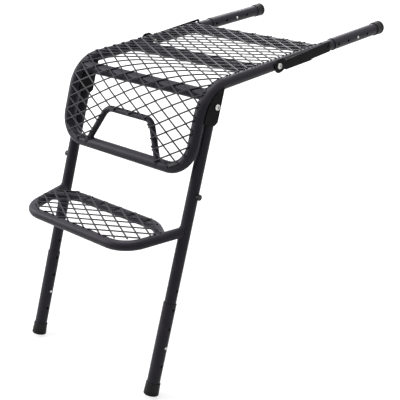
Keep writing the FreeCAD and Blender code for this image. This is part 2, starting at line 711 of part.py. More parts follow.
def snap_button(label, x, y, z, turn):
    """Spring button that shows on both sides of its tube."""
    body = new_body(label)
    half_section = sketch_on(body, "XY_Plane")
    tip = "sleeve_tube / 2 + button_proud"
    radius = "button_bore / 2"
    draw(half_section, [(f"-({tip})", "0"), (f"-({tip})", radius, "button_proud"), (tip, radius, "button_proud"),
                        (tip, "0")], closed=True)
    revolve(body, half_section, "X_Axis")
    return put(body, x, y, z, turn)


def leg_knob(label, side):
    """Plastic knob on the outer side of a leg, its stem in the tube's wall."""
    body = new_body(label)
    half_section = sketch_on(body, "XY_Plane")
    seat = "leg_tube / 2 + weld_gap"
    tip = f"{seat} + knob_length"
    inside = "leg_tube / 2 - 2 * leg_wall"
    draw(half_section, [(inside, "0"), (inside, "knob_stem / 2"), (seat, "knob_stem / 2"),
                        (seat, "knob_bore / 2"), (tip, "knob_bore / 2", "knob_length / 5"), (tip, "0")], closed=True)
    revolve(body, half_section, "X_Axis")
    y = f"{PIVOT_Y} - sin(panel_lean) * knob_at"
    z = f"{PIVOT_Z} - cos(panel_lean) * knob_at"
    if side > 0:
        return put(body, "rail_spacing / 2", y, z)
    return put(body, "-rail_spacing / 2", y, z, "180", (0, 0, 1))


def step_frame_tube():
    """Side and front tubes of the lower step, bent from one length and coped on the legs."""
    body = new_body("step_frame_tube")
    path = [
        ("-rail_spacing / 2", "0"),
        ("-step_front / 2", "-step_depth", "step_bend"),
        ("step_front / 2", "-step_depth", "step_bend"),
        ("rail_spacing / 2", "0"),
    ]
    bent_tube(body, "XY_Plane", path, "step_tube", "step_wall")
    copes = sketch_on(body, "XY_Plane")
    leg_turn = "step_tilt - panel_lean"
    copes.AttachmentOffset = Placement(Vector(), Rotation(Vector(1, 0, 0), size(leg_turn)))
    copes.setExpression("AttachmentOffset.Rotation.Angle", bind(leg_turn))
    for end in SIDES.values():
        circle(copes, f"{end} * rail_spacing / 2", "0", "leg_tube + 2 * weld_gap")
    pocket(body, copes)
    return put(body, "0", STEP_Y, STEP_Z, "-step_tilt")


def step_rear_bar():
    """Rear bar of the lower step, its ends swept forward and coped on the side tubes."""
    body = new_body("step_rear_bar")
    run = "(rail_spacing - step_front) / 2 / step_depth"
    inset = f"(rail_spacing / 2 - step_rear_flat / 2 - step_rear_at * {run})"
    forward = f"({inset} / (1 / tan(step_rear_sweep) + {run}))"
    end_x = f"step_rear_flat / 2 + {forward} / tan(step_rear_sweep)"
    path = [
        (f"-({end_x})", f"-step_rear_at - {forward}"),
        ("-step_rear_flat / 2", "-step_rear_at", "step_rear_bend"),
        ("step_rear_flat / 2", "-step_rear_at", "step_rear_bend"),
        (end_x, f"-step_rear_at - {forward}"),
    ]
    bent_tube(body, "XY_Plane", path, "step_tube", "step_wall")
    for end in SIDES.values():
        cope = sketch_on(body, "XZ_Plane")
        splay = f"{-end} * atan({run})"
        cope.AttachmentOffset = Placement(Vector(), Rotation(Vector(0, 1, 0), size(splay)))
        cope.setExpression("AttachmentOffset.Rotation.Angle", bind(splay))
        circle(cope, f"{end} * rail_spacing / 2 * cos(atan({run}))", "0", "step_tube + 2 * weld_gap")
        pocket(body, cope)
    return put(body, "0", STEP_Y, STEP_Z, "-step_tilt")


def step_mesh():
    """Flat mesh on the lower step's tubes."""
    half = size("rail_spacing / 2")
    front = size("step_front / 2")
    depth = size("step_depth")
    rear = size("step_rear_at")
    side_run = (half - front) / depth
    bar = size("step_rear_flat / 2")
    forward = (half - bar - rear * side_run) / (1 / math.tan(math.radians(size("step_rear_sweep"))) + side_run)
    end_y = -rear - forward
    end_x = half + end_y * side_run
    bend = size("step_bend")
    outline = round_path([(-end_x, end_y), (-front, -depth, bend), (front, -depth, bend), (end_x, end_y),
                          (bar, -rear), (-bar, -rear)])
    lift = Placement(Vector(0, 0, size("step_tube / 2 + weld_gap")), Rotation())
    tilt = Rotation(Vector(1, 0, 0), -size("step_tilt"))
    place = Placement(Vector(0, size(STEP_Y), size(STEP_Z)), tilt)
    return mesh_piece("step_mesh", flat_mesh(outline, size("step_depth"), "step_mesh"), place * lift)


def arm_plate(label, side):
    """Folded arm plate: a flat side with a round knuckle at the bolt and a lip that bears under the rail."""
    body = new_body(label)
    floor = f"-({PLATE_SEAT} + sheet_thickness)"
    fold_top = f"{floor} + arm_fold_radius"
    turn = "0.95 * arm_knuckle"
    lip_end = "arm_lip_start + arm_lip_length"
    flat = sketch_on(body, "YZ_Plane", f"{side} * ({PLATE_SEAT})")
    draw(flat, [("-arm_knuckle", "-arm_knuckle", turn), ("0.4 * arm_knuckle", "-arm_knuckle", "0.4 * arm_knuckle"),
                ("1.2 * arm_knuckle", fold_top), (lip_end, fold_top), (ARM_LENGTH, "-arm_rear_foot"),
                (ARM_LENGTH, "arm_rear_top", "arm_hole_back / 2"), ("1.5 * arm_knuckle", "arm_front_top"),
                ("0.7 * arm_knuckle", "arm_knuckle", "0.5 * arm_knuckle"),
                ("-arm_knuckle", "arm_knuckle", turn)], closed=True)
    pad(body, flat, "sheet_thickness", reverse=side < 0)
    section = sketch_on(body, "XZ_Plane", "-arm_lip_start")
    outside = f"{side} * ({PLATE_SEAT} + sheet_thickness)"
    face = f"{side} * ({PLATE_SEAT})"
    inside = f"{outside} - {side} * arm_lip_width"
    top = f"{fold_top} + arm_fold_radius"
    draw(section, [(outside, top), (outside, floor, "arm_fold_radius"), (inside, floor),
                   (inside, f"{floor} + sheet_thickness"),
                   (face, f"{floor} + sheet_thickness", "arm_fold_radius - sheet_thickness"), (face, top)], closed=True)
    pad(body, section, "arm_lip_length", reverse=True)
    holes = sketch_on(body, "YZ_Plane")
    circle(holes, "0", "0", "bolt_shank + 2 * bolt_gap")
    circle(holes, f"{ARM_LENGTH} - arm_hole_back", "arm_hole_up", "arm_hole_bore")
    pocket(body, holes)
    return put(body, f"{side} * rail_spacing / 2", ARM_Y, RAIL_Z)


def arm_tube(label, side):
    """Inner tube of an arm, welded to the arm plate's rear end."""
    body = new_body(label)
    start = "(rail_length + arm_fold_gap - arm_pivot_at)"
    length = f"{ARM_BUTTON} + tube_past_button - {start}"
    straight_tube(body, "XZ_Plane", "leg_tube", "leg_wall", length, start=f"-{start}", reverse=True)
    holes = sketch_on(body, "YZ_Plane")
    for step in range(3):
        circle(holes, f"{ARM_BUTTON} - {step} * hole_spacing", "0", "hole_bore")
    pocket(body, holes)
    return put(body, f"{side} * rail_spacing / 2", ARM_Y, RAIL_Z)


def arm_sleeve(label, side):
    """Outer, adjustable part of an arm, which lies on the tyre."""
    body = new_body(label)
    drilled_sleeve(body, "XZ_Plane", "Y_Axis", f"-({ARM_SLEEVE_AT})", "arm_sleeve_tail", backwards=True)
    return put(body, f"{side} * rail_spacing / 2", ARM_Y, RAIL_Z)


def arm_cap(label, side):
    """Rubber cap on the sleeve's far end."""
    body = new_body(label)
    rubber_cup(body, "XZ_Plane", "Z_Axis")
    y = f"{ARM_Y} + {ARM_SLEEVE_AT} + {HOLE_ROW} + arm_sleeve_tail"
    return put(body, f"{side} * rail_spacing / 2", y, RAIL_Z, "90")


def build():
    """Make every sub-part, from the frame outwards."""
    panel_bottom_bar()
    front_crossbar()
    straight_crossbar("mid_crossbar", "mid_bar_at")
    straight_crossbar("rear_crossbar", "rear_bar_at")
    handle_tube()
    platform_mesh()
    nose_mesh()
    panel_mesh()
    step_frame_tube()
    step_rear_bar()
    step_mesh()
    cheek = f"{CHEEK_SEAT} + sheet_thickness"
    plate = f"{PLATE_SEAT} + sheet_thickness"
    for name, side in SIDES.items():
        x = f"{side} * rail_spacing / 2"
        side_rail(f"{name}_side_rail", side)
        leg_bracket(f"{name}_leg_bracket", side)
        pivot_bolt(f"{name}_leg_bolt", side, cheek, cheek, "leg_nut_height", PIVOT_Y, PIVOT_Z)
        pivot_bolt(f"{name}_arm_bolt", side, plate, SEAT, "arm_nut_height", ARM_Y, RAIL_Z)
        leg_tube(f"{name}_leg_tube", side)
        leg_knob(f"{name}_leg_knob", side)
        y = f"{PIVOT_Y} - sin(panel_lean) * leg_button_at"
        z = f"{PIVOT_Z} - cos(panel_lean) * leg_button_at"
        snap_button(f"{name}_leg_button", x, y, z, "-panel_lean")
        leg_sleeve(f"{name}_leg_sleeve", side)
        leg_foot(f"{name}_foot", side)
        arm_plate(f"{name}_arm_plate", side)
        arm_tube(f"{name}_arm_tube", side)
        snap_button(f"{name}_arm_button", x, f"{ARM_Y} + {ARM_BUTTON}", RAIL_Z, "0")
        arm_sleeve(f"{name}_arm_sleeve", side)
        arm_cap(f"{name}_arm_cap", side)


def check():
    """Stop if any feature failed or any piece isn't one sound solid."""
    doc.recompute()
    for item in doc.Objects:
        if "Invalid" in item.State or "Error" in item.State:
            raise RuntimeError(f"{item.Label} failed: {item.State}")
    for piece in pieces:
        shape = piece.Shape
        if shape.isNull() or not shape.isValid() or len(shape.Solids) != 1:
            raise RuntimeError(f"{piece.Label} is not one sound solid")


build()
check()
os.makedirs("parts", exist_ok=True)
for piece in pieces:
    piece.Shape.exportStep(f"parts/{piece.Label}.step")
    print(f"{piece.Label}: {piece.Shape.Volume / 1000:.2f} cm3")
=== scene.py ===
"""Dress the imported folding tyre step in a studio: coated tube, expanded mesh, welds, bolts and rubber."""

import json
import logging
import math
from abc import ABC, abstractmethod
from dataclasses import dataclass, field
from enum import Enum

import bpy
import numpy as np
from mathutils import Matrix, Vector


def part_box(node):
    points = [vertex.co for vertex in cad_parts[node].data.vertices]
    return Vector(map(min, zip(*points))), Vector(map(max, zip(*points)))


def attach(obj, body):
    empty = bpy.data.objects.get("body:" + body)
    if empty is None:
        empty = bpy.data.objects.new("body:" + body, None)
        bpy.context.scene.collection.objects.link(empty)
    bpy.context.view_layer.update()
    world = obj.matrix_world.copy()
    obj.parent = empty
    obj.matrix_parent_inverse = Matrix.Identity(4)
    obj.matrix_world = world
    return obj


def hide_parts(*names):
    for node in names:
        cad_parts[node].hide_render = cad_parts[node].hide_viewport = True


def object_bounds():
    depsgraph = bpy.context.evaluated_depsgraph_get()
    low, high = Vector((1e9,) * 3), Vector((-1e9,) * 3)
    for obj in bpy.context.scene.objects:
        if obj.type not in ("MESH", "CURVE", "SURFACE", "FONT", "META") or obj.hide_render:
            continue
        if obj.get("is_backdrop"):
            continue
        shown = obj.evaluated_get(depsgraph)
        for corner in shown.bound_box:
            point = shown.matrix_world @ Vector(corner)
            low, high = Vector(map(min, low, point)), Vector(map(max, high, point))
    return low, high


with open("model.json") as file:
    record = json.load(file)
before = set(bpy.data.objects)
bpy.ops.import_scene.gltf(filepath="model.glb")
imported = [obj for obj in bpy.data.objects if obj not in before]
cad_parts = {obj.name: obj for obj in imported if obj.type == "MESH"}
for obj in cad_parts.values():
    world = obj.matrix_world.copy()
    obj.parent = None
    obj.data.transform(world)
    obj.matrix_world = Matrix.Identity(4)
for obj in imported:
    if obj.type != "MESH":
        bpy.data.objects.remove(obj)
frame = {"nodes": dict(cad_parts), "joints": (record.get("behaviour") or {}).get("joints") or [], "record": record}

LOG = logging.getLogger("tyre_step")
MM = 0.001
WHITE = (1.0, 1.0, 1.0, 1.0)
X_AXIS, Y_AXIS, Z_AXIS = np.eye(3)


class Side(Enum):
    """The two mirrored sides, with the sign of their X."""

    LEFT = -1
    RIGHT = 1

    def node(self, piece: str) -> str:
        """Name this side's CAD node or body for a piece.

        Args:
            piece: Name of the piece without its side.

        Returns:
            The full name.
        """
        return f"{self.name.lower()}_{piece}"


class Slot(Enum):
    """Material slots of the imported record."""

    TUBE = "tube_coating"
    MESH = "mesh_coating"
    SHEET = "sheet_coating"
    ZINC = "zinc"
    RUBBER = "rubber"
    PLASTIC = "plastic"


# Materials


def linear(code: str) -> tuple[float, float, float, float]:
    """Turn an sRGB hex colour into linear light.

    Args:
        code: Six hex digits after a hash.

    Returns:
        Red, green, blue and an alpha of one.
    """
    parts = [int(code[place:place + 2], 16) / 255 for place in (1, 3, 5)]
    lit = [part / 12.92 if part <= 0.04045 else ((part + 0.055) / 1.055) ** 2.4 for part in parts]
    return (*lit, 1.0)


def add_node(tree: bpy.types.NodeTree, kind: str, links: dict | None = None, sockets: dict | None = None,
             **settings) -> bpy.types.Node:
    """Add a node with its settings, socket values and incoming links.

    Args:
        tree: Node tree to add to.
        kind: Blender's name of the node type.
        links: Input socket name or index to the output socket that feeds it.
        sockets: Input socket name or index to its value.
        **settings: Properties of the node.

    Returns:
        The new node.
    """
    node = tree.nodes.new(kind)
    for name, value in settings.items():
        setattr(node, name, value)
    for name, value in (sockets or {}).items():
        node.inputs[name].default_value = value
    for name, source in (links or {}).items():
        tree.links.new(source, node.inputs[name])
    return node


def empty_material(name: str) -> bpy.types.Material:
    """Make a material with a bare node tree.

    Args:
        name: The real material's name.

    Returns:
        The material.
    """
    material = bpy.data.materials.new(name)
    material.use_nodes = True
    material.node_tree.nodes.clear()
    return material


@dataclass(frozen=True)
class Finish:
    """A surface finish with two-tone colour, mottled gloss and a fine relief.

    The colour wanders between two tones over mottle_mm, the roughness between two values over the same noise,
    and a bump of relief_mm grains gives the surface its skin. The spans are the noise values between which
    tone and roughness change.
    """

    name: str
    dark: str
    light: str
    roughness: tuple[float, float]
    specular: float
    mottle_mm: float
    relief_mm: float
    relief_height_mm: float
    metallic: float = 0.0
    tone_span: tuple[float, float] = (0.35, 0.68)
    gloss_span: tuple[float, float] = (0.3, 0.7)
    bump_strength: float = 0.6

    def material(self) -> bpy.types.Material:
        """Build the procedural material.

        Returns:
            The finished material.
        """
        material = empty_material(self.name)
        tree = material.node_tree
        place = add_node(tree, "ShaderNodeTexCoord").outputs["Object"]
        mottle = add_node(tree, "ShaderNodeTexNoise", {"Vector": place},
                          {"Scale": 1 / (self.mottle_mm * MM), "Detail": 4.0, "Roughness": 0.6})
        tone = add_node(tree, "ShaderNodeValToRGB", {"Fac": mottle.outputs["Fac"]})
        for stop, value, colour in zip(tone.color_ramp.elements, self.tone_span, (self.dark, self.light)):
            stop.position = value
            stop.color = linear(colour)
        gloss = add_node(tree, "ShaderNodeMapRange", {"Value": mottle.outputs["Fac"]},
                         {"From Min": self.gloss_span[0], "From Max": self.gloss_span[1],
                          "To Min": self.roughness[0], "To Max": self.roughness[1]})
        skin = add_node(tree, "ShaderNodeTexNoise", {"Vector": place},
                        {"Scale": 1 / (self.relief_mm * MM), "Detail": 2.0, "Roughness": 0.5})
        bump = add_node(tree, "ShaderNodeBump", {"Height": skin.outputs["Fac"]},
                        {"Strength": self.bump_strength, "Distance": self.relief_height_mm * MM})
        shader = add_node(tree, "ShaderNodeBsdfPrincipled",
                          {"Base Color": tone.outputs["Color"], "Roughness": gloss.outputs["Result"],
                           "Normal": bump.outputs["Normal"]},
                          {"Metallic": self.metallic, "Specular IOR Level": self.specular})
        add_node(tree, "ShaderNodeOutputMaterial", {"Surface": shader.outputs["BSDF"]})
        return material


# Polyester powder coat, sprayed and baked: satin black with a faint orange-peel skin
TUBE_COAT = Finish("satin_black_powder_coat", dark="#2e2c33", light="#39363f", roughness=(0.44, 0.52),
                   specular=0.16, mottle_mm=30.0, relief_mm=1.4, relief_height_mm=0.03)
# The same coat is thinner on the mesh, whose cut strands catch more light along their edges
MESH_COAT = Finish("satin_black_mesh_coat", dark="#28272c", light="#333138", roughness=(0.42, 0.52),
                   specular=0.20, mottle_mm=18.0, relief_mm=1.2, relief_height_mm=0.03)
# Folded sheet under the same coat as the tubes, flatter with a lower specular; its near-black colour is painted
# shade, darker than the coat itself so that the plates render as dark as their shaded sides
SHEET_COAT_WITH_PAINTED_SHADE = Finish("satin_black_sheet_coat", dark="#111113", light="#161618", roughness=(0.50, 0.62),
                    specular=0.07, mottle_mm=26.0, relief_mm=1.4, relief_height_mm=0.03)
# Bright zinc plate on cold-formed steel: grey-white, slightly clouded
ZINC = Finish("bright_zinc_plate", dark="#a9a9a6", light="#d2d2cf", roughness=(0.22, 0.38), specular=0.5,
              mottle_mm=2.5, relief_mm=0.8, relief_height_mm=0.02, metallic=1.0)
# Moulded natural rubber with carbon black: matt, with a dusty bloom
RUBBER = Finish("moulded_black_rubber", dark="#1d1b1d", light="#272528", roughness=(0.50, 0.66),
                specular=0.20, mottle_mm=9.0, relief_mm=0.9, relief_height_mm=0.05)
# Moulded nylon: black, with a fine spark-eroded texture
NYLON = Finish("moulded_black_nylon", dark="#151415", light="#1d1b1e", roughness=(0.45, 0.55),
               specular=0.35, mottle_mm=8.0, relief_mm=0.7, relief_height_mm=0.04)


class Paintbox:
    """Makes each finish once and hands it to the pieces of its slot."""

    finishes = {Slot.TUBE: TUBE_COAT, Slot.MESH: MESH_COAT, Slot.SHEET: SHEET_COAT_WITH_PAINTED_SHADE, Slot.ZINC: ZINC,
                Slot.RUBBER: RUBBER, Slot.PLASTIC: NYLON}

    def __init__(self) -> None:
        """Build the materials."""
        self.materials = {slot: finish.material() for slot, finish in self.finishes.items()}

    def paint(self, piece: bpy.types.Object, slot: Slot) -> None:
        """Give a piece the finish of a slot.

        Args:
            piece: Object to dress.
            slot: Material slot of the record.
        """
        piece.data.materials.clear()
        piece.data.materials.append(self.materials[slot])

    def paint_frame(self) -> None:
        """Give every CAD node the finish that the record names for it."""
        for entry in frame["record"]["subparts"]:
            self.paint(frame["nodes"][entry["node"]], Slot(entry["material_slot"]))


# Surfaces


@dataclass
class Surface:
    """Grids of points that become one mesh object."""

    name: str
    points: list[np.ndarray] = field(default_factory=list)
    faces: list[np.ndarray] = field(default_factory=list)
    count: int = 0

    def add_grid(self, grid: np.ndarray, close_u: bool = False) -> None:
        """Add a grid of points, closed round its second direction, as quads with fans over its open ends.

        Args:
            grid: Array of shape (U, V, 3).
            close_u: Join the last row to the first instead of closing both ends.
        """
        rows, columns = grid.shape[:2]
        index = np.arange(rows * columns).reshape(rows, columns) + self.count
        index = np.hstack([index, index[:, :1]])
        if close_u:
            index = np.vstack([index, index[:1]])
        quads = np.stack([index[:-1, :-1], index[:-1, 1:], index[1:, 1:], index[1:, :-1]], axis=-1)
        self.points.append(grid.reshape(-1, 3))
        self.faces.append(quads.reshape(-1, 4))
        self.count += rows * columns
        if not close_u:
            for row, flip in ((0, True), (-1, False)):
                self.points.append(grid[row].mean(axis=0)[None])
                hub = np.full(columns, self.count)
                self.count += 1
                ring = index[row][::-1] if flip else index[row]
                self.faces.append(np.stack([ring[:-1], ring[1:], hub, hub], axis=-1))

    def build(self, body: str, smooth_angle: float = 40.0) -> bpy.types.Object:
        """Make the mesh object, shade it and let it ride on a body.

        Args:
            body: CAD body that it moves with.
            smooth_angle: Edges sharper than this, in degrees, stay sharp.

        Returns:
            The object.
        """
        quads = np.vstack(self.faces)
        polygons = [face[:3] if face[2] == face[3] else face for face in quads.tolist()]
        mesh = bpy.data.meshes.new(self.name)
        mesh.from_pydata(np.vstack(self.points).tolist(), [], polygons)
        mesh.polygons.foreach_set("use_smooth", np.ones(len(polygons), bool))
        mesh.set_sharp_from_angle(angle=math.radians(smooth_angle))
        mesh.update()
        piece = bpy.data.objects.new(self.name, mesh)
        bpy.context.scene.collection.objects.link(piece)
        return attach(piece, body)


def unit(vector: np.ndarray) -> np.ndarray:
    """Scale a vector, or each row of an array of vectors, to length one.

    Args:
        vector: Array of shape (..., 3).

    Returns:
        Array of the same shape.
    """
    vector = np.asarray(vector, float)
    return vector / np.linalg.norm(vector, axis=-1, keepdims=True)


def across(axis: np.ndarray) -> tuple[np.ndarray, np.ndarray]:
    """Two unit directions square to an axis and to each other.

    Args:
        axis: Unit direction.

    Returns:
        The two directions.
    """
    helper = Z_AXIS if abs(axis[2]) < 0.9 else Y_AXIS
    first = unit(np.cross(helper, axis))
    return first, np.cross(axis, first)


def circle_section(radius: float, count: int) -> np.ndarray:
    """Points (radius cos a, radius sin a) of a round section.

    Args:
        radius: Radius of the section.
        count: Number of points.

    Returns:
        Array of shape (count, 2).
    """
    angle = np.linspace(0, 2 * np.pi, count, endpoint=False)
    return radius * np.stack([np.cos(angle), np.sin(angle)], axis=1)


def rounded_section(width: float, height: float, count: int, power: float = 4.0) -> np.ndarray:
    """Superellipse |2x/width|^power + |2y/height|^power = 1, a rectangle with soft corners.

    Args:
        width: Full width.
        height: Full height.
        count: Number of points.
        power: Exponent; larger is squarer.

    Returns:
        Array of shape (count, 2).
    """
    angle = np.linspace(0, 2 * np.pi, count, endpoint=False) + np.pi / count
    c, s = np.cos(angle), np.sin(angle)
    return np.stack([width / 2 * np.sign(c) * np.abs(c) ** (2 / power),
                     height / 2 * np.sign(s) * np.abs(s) ** (2 / power)], axis=1)


def sweep(path: np.ndarray, up: np.ndarray, section: np.ndarray, scale: np.ndarray | float = 1.0,
          closed: bool = False) -> np.ndarray:
    """Carry a section along a path: point = path + scale (x side + y up), with side = up x tangent.

    Args:
        path: Array of shape (N, 3).
        up: Direction of the section's second axis, of shape (3,) or (N, 3).
        section: Array of shape (M, 2).
        scale: Growth of the section along the path, one value or N.
        closed: The path's end meets its start.

    Returns:
        Grid of shape (N, M, 3).
    """
    if closed:
        tangent = unit(np.roll(path, -1, axis=0) - np.roll(path, 1, axis=0))
    else:
        tangent = unit(np.gradient(path, axis=0))
    side = unit(np.cross(np.broadcast_to(np.asarray(up, float), path.shape), tangent))
    lift = np.cross(tangent, side)
    size = np.broadcast_to(np.asarray(scale, float), (len(path),))[:, None, None]
    offset = section[None, :, :1] * side[:, None] + section[None, :, 1:] * lift[:, None]
    return path[:, None] + size * offset


def revolve(profile: np.ndarray, origin: np.ndarray, axis: np.ndarray, count: int = 48) -> np.ndarray:
    """Turn a profile of distances d and radii r about an axis: origin + d axis + r (cos a u + sin a v).

    Args:
        profile: Array of shape (N, 2) of (d, r), from the near end to the far end.
        origin: Point on the axis where the distance is zero.
        axis: Unit direction of the axis.
        count: Points round the axis.

    Returns:
        Grid of shape (N, count, 3).
    """
    axis = unit(axis)
    first, second = across(axis)
    angle = np.linspace(0, 2 * np.pi, count, endpoint=False)
    spoke = np.cos(angle)[:, None] * first + np.sin(angle)[:, None] * second
    profile = np.asarray(profile, float)
    return np.asarray(origin) + profile[:, 0, None, None] * axis + profile[:, 1, None, None] * spoke[None]


# Measured places


@dataclass(frozen=True)
class Layout:
    """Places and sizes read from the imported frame, in metres."""

    rail_x: float
    tube_radius: float
    leg_radius: float
    lean: float
    nose_y: float
    nose_z: float
    nose_radius: float
    sheet: float
    leg_down: np.ndarray

    @classmethod
    def measured(cls) -> "Layout":
        """Read the layout from the boxes of the CAD nodes and from the joints.

        Returns:
            The layout.
        """
        joints = {joint["name"]: joint for joint in frame["joints"]}
        down = np.array(joints["left_leg_slide"]["axis"])
        lean = math.asin(-down[1])
        rail_low, rail_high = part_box("right_side_rail")
        leg_low, leg_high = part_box("right_leg_tube")
        nose_low, nose_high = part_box("nose_mesh")
        flat_low, flat_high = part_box("platform_mesh")
        bar_low, bar_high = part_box("mid_crossbar")
        outer = (nose_high.y - nose_low.y) / math.cos(lean)
        sheet = flat_high.z - flat_low.z
        return cls(
            rail_x=(rail_low.x + rail_high.x) / 2,
            tube_radius=(bar_high.z - bar_low.z) / 2,
            leg_radius=(leg_high.x - leg_low.x) / 2,
            lean=lean,
            nose_y=flat_low.y,
            nose_z=flat_high.z - outer,
            nose_radius=outer - sheet / 2,
            sheet=sheet,
            leg_down=down,
        )


# Expanded mesh


@dataclass
class ExpandedSheet(ABC):
    """Expanded sheet laid out flat as (x, t, n): x across, t along, n out of the sheet.

    Strand row k zigzags between knot rows k and k + 1, so that neighbouring rows meet at their knots. The
    pattern is turned on the sheet and moved aside, and each strand is cut where margin falls below zero.
    """

    layout: Layout
    columns: int = 8
    short_way: float = 28.1 * MM
    strand_width: float = 3.3 * MM
    bond_share: float = 0.10
    inset_share: float = 0.28
    inner_shares: tuple[float, ...] = (0.22, 0.4, 0.6, 0.78)
    section_points: int = 10
    aside: float = 0.0
    ahead: float = 0.0
    turn: float = 0.0

    @abstractmethod
    def margin(self, line: np.ndarray) -> np.ndarray:
        """Distance of flat points inside the sheet's outline, below zero outside it.

        Args:
            line: Array of shape (N, 2) of (x, t).

        Returns:
            Array of N distances.
        """

    @abstractmethod
    def wrap(self, flat: np.ndarray) -> np.ndarray:
        """Bring flat points (x, t, n) to their places on the part.

        Args:
            flat: Array of shape (..., 3).

        Returns:
            Array of the same shape, in the part's frame.
        """

    @property
    def long_way(self) -> float:
        """Long way of a diamond.

        Returns:
            The length across the sheet from knot to knot.
        """
        return 2 * self.layout.rail_x / self.columns

    def strand_line(self, row: int, half: float) -> np.ndarray:
        """One zigzag strand, levelled at the knots where it is bonded to its neighbours.

        In the pattern's own axes, with h = short_way / 2, the strand is p = aside + phase long_way / 2 and
        q = ahead + row h + inset + rise(phase) (h - 2 inset). Turned by the angle a it becomes
        x = p cos a + q sin a, t = q cos a - p sin a.

        Args:
            row: Number of the knot row below the strand.
            half: Half width to draw.

        Returns:
            Array of shape (N, 2) of (x, t).
        """
        step = self.long_way / 2
        edge = self.bond_share / 2
        shares = np.array([0.0, edge, *self.inner_shares, 1 - edge])
        cells = np.arange(-math.ceil(half / step) - 1, math.ceil(half / step) + 1)
        phase = (cells[:, None] + shares[None, :]).ravel()
        wave = (phase + row) % 2
        rise = np.where(wave < 1, wave, 2 - wave)
        rise = np.clip((rise - edge) / (1 - self.bond_share), 0, 1)
        inset = self.inset_share * self.strand_width
        p = phase * step + self.aside
        q = row * self.short_way / 2 + inset + rise * (self.short_way / 2 - 2 * inset) + self.ahead
        a = math.radians(self.turn)
        return np.stack([p * math.cos(a) + q * math.sin(a), q * math.cos(a) - p * math.sin(a)], axis=1)

    def runs(self, line: np.ndarray) -> list[np.ndarray]:
        """Cut a line to the stretches inside the outline, with end points set where the margin crosses zero.

        Args:
            line: Array of shape (N, 2).

        Returns:
            The stretches with at least three points.
        """
        margin = self.margin(line)
        inside = margin > 0
        crossing = np.flatnonzero(inside[1:] != inside[:-1])
        share = margin[crossing] / (margin[crossing] - margin[crossing + 1])
        cuts = line[crossing] + share[:, None] * (line[crossing + 1] - line[crossing])
        line = np.insert(line, crossing + 1, cuts, axis=0)
        keep = np.insert(inside, crossing + 1, True)
        parts = np.split(np.arange(len(line)), np.flatnonzero(keep[1:] != keep[:-1]) + 1)
        return [line[part] for part in parts if keep[part[0]] and len(part) > 2]

    def build(self, name: str, body: str, nodes: tuple[str, ...], span: tuple[float, float],
              paint: Paintbox) -> bpy.types.Object:
        """Build every strand of the sheet.

        Args:
            name: Name of the piece.
            body: CAD body that it moves with.
            nodes: CAD nodes that it stands for.
            span: Lowest and highest t of the sheet.
            paint: Finishes.

        Returns:
            The mesh piece.
        """
        surface = Surface(name)
        section = rounded_section(self.strand_width, self.layout.sheet, self.section_points)
        low, high = (value / (self.short_way / 2) for value in span)
        for row in range(math.floor(low) - 2, math.ceil(high) + 2):
            for run in self.runs(self.strand_line(row, self.layout.rail_x)):
                flat = np.column_stack([run, np.zeros(len(run))])
                surface.add_grid(self.wrap(sweep(flat, Z_AXIS, section)))
        piece = surface.build(body)
        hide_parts(*nodes)
        paint.paint(piece, Slot.MESH)
        return piece


@dataclass
class PlatformMesh(ExpandedSheet):
    """The platform's sheet, rolled over the nose and down the front panel, where it is cut out for the grip.

    t is zero where the panel meets the nose bend and grows up the bend and along the platform.
    """

    aside: float = 3.8 * MM
    ahead: float = -3.1 * MM
    turn: float = 0.75
    corner: float = 58 * MM
    grip_foot: float = 106.5 * MM
    grip_top: float = 64.5 * MM
    grip_rise: float = 83.5 * MM
    grip_blend: float = 5 * MM
    rear_trim: float = 5 * MM

    def __post_init__(self) -> None:
        """Work out where the sheet ends along t."""
        lay = self.layout
        self.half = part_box("platform_mesh")[1].x
        self.arc = lay.nose_radius * (math.pi / 2 - lay.lean)
        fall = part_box("panel_mesh")[0].z - lay.nose_z - lay.nose_radius * math.sin(lay.lean)
        self.low = fall / math.cos(lay.lean)
        self.high = self.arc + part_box("platform_mesh")[1].y - lay.nose_y - self.rear_trim

    def margin(self, line: np.ndarray) -> np.ndarray:
        """Distance inside a rectangle with round lower corners, less the grip's trapezium.

        The trapezium's corners are blended by a soft minimum of the distances below and beside it.

        Args:
            line: Array of shape (N, 2) of (x, t).

        Returns:
            Array of N distances.
        """
        x, t = np.abs(line[:, 0]), line[:, 1]
        sheet = self.corner - np.hypot(np.maximum(x - self.half + self.corner, 0),
                                       np.maximum(self.low + self.corner - t, 0))
        sheet = np.minimum(sheet, self.high - t)
        slope = (self.grip_foot - self.grip_top) / self.grip_rise
        below = self.low + self.grip_rise - t
        beside = (self.grip_foot - slope * (t - self.low) - x) / math.hypot(1, slope)
        grip = -self.grip_blend * np.logaddexp(-below / self.grip_blend, -beside / self.grip_blend)
        return np.minimum(sheet, -grip)

    def wrap(self, flat: np.ndarray) -> np.ndarray:
        """Roll flat points (x, t, n) onto panel, nose arc and platform.

        With the nose centre C and radius r, a point below the bend is C + (r + n) N + t U. One on the bend is
        C + (r + n) (cos a, sin a) with a falling by t / r, and one beyond it C + (r + n) up + (t - arc) back.

        Args:
            flat: Array of shape (..., 3).

        Returns:
            Array of the same shape, in the part's frame.
        """
        lay = self.layout
        x, t, n = np.moveaxis(flat, -1, 0)
        angle = math.pi - lay.lean - np.clip(t, 0, self.arc) / lay.nose_radius
        over = np.maximum(t - self.arc, 0)
        under = np.minimum(t, 0)
        y = lay.nose_y + (lay.nose_radius + n) * np.cos(angle) + over + under * math.sin(lay.lean)
        z = lay.nose_z + (lay.nose_radius + n) * np.sin(angle) + under * math.cos(lay.lean)
        return np.stack([x, y, z], axis=-1)

    def dress(self, paint: Paintbox) -> bpy.types.Object:
        """Build the sheet in place of its three CAD nodes.

        Args:
            paint: Finishes.

        Returns:
            The mesh piece.
        """
        nodes = ("platform_mesh", "nose_mesh", "panel_mesh")
        return self.build("expanded_mesh_sheet", "frame", nodes, (self.low, self.high), paint)


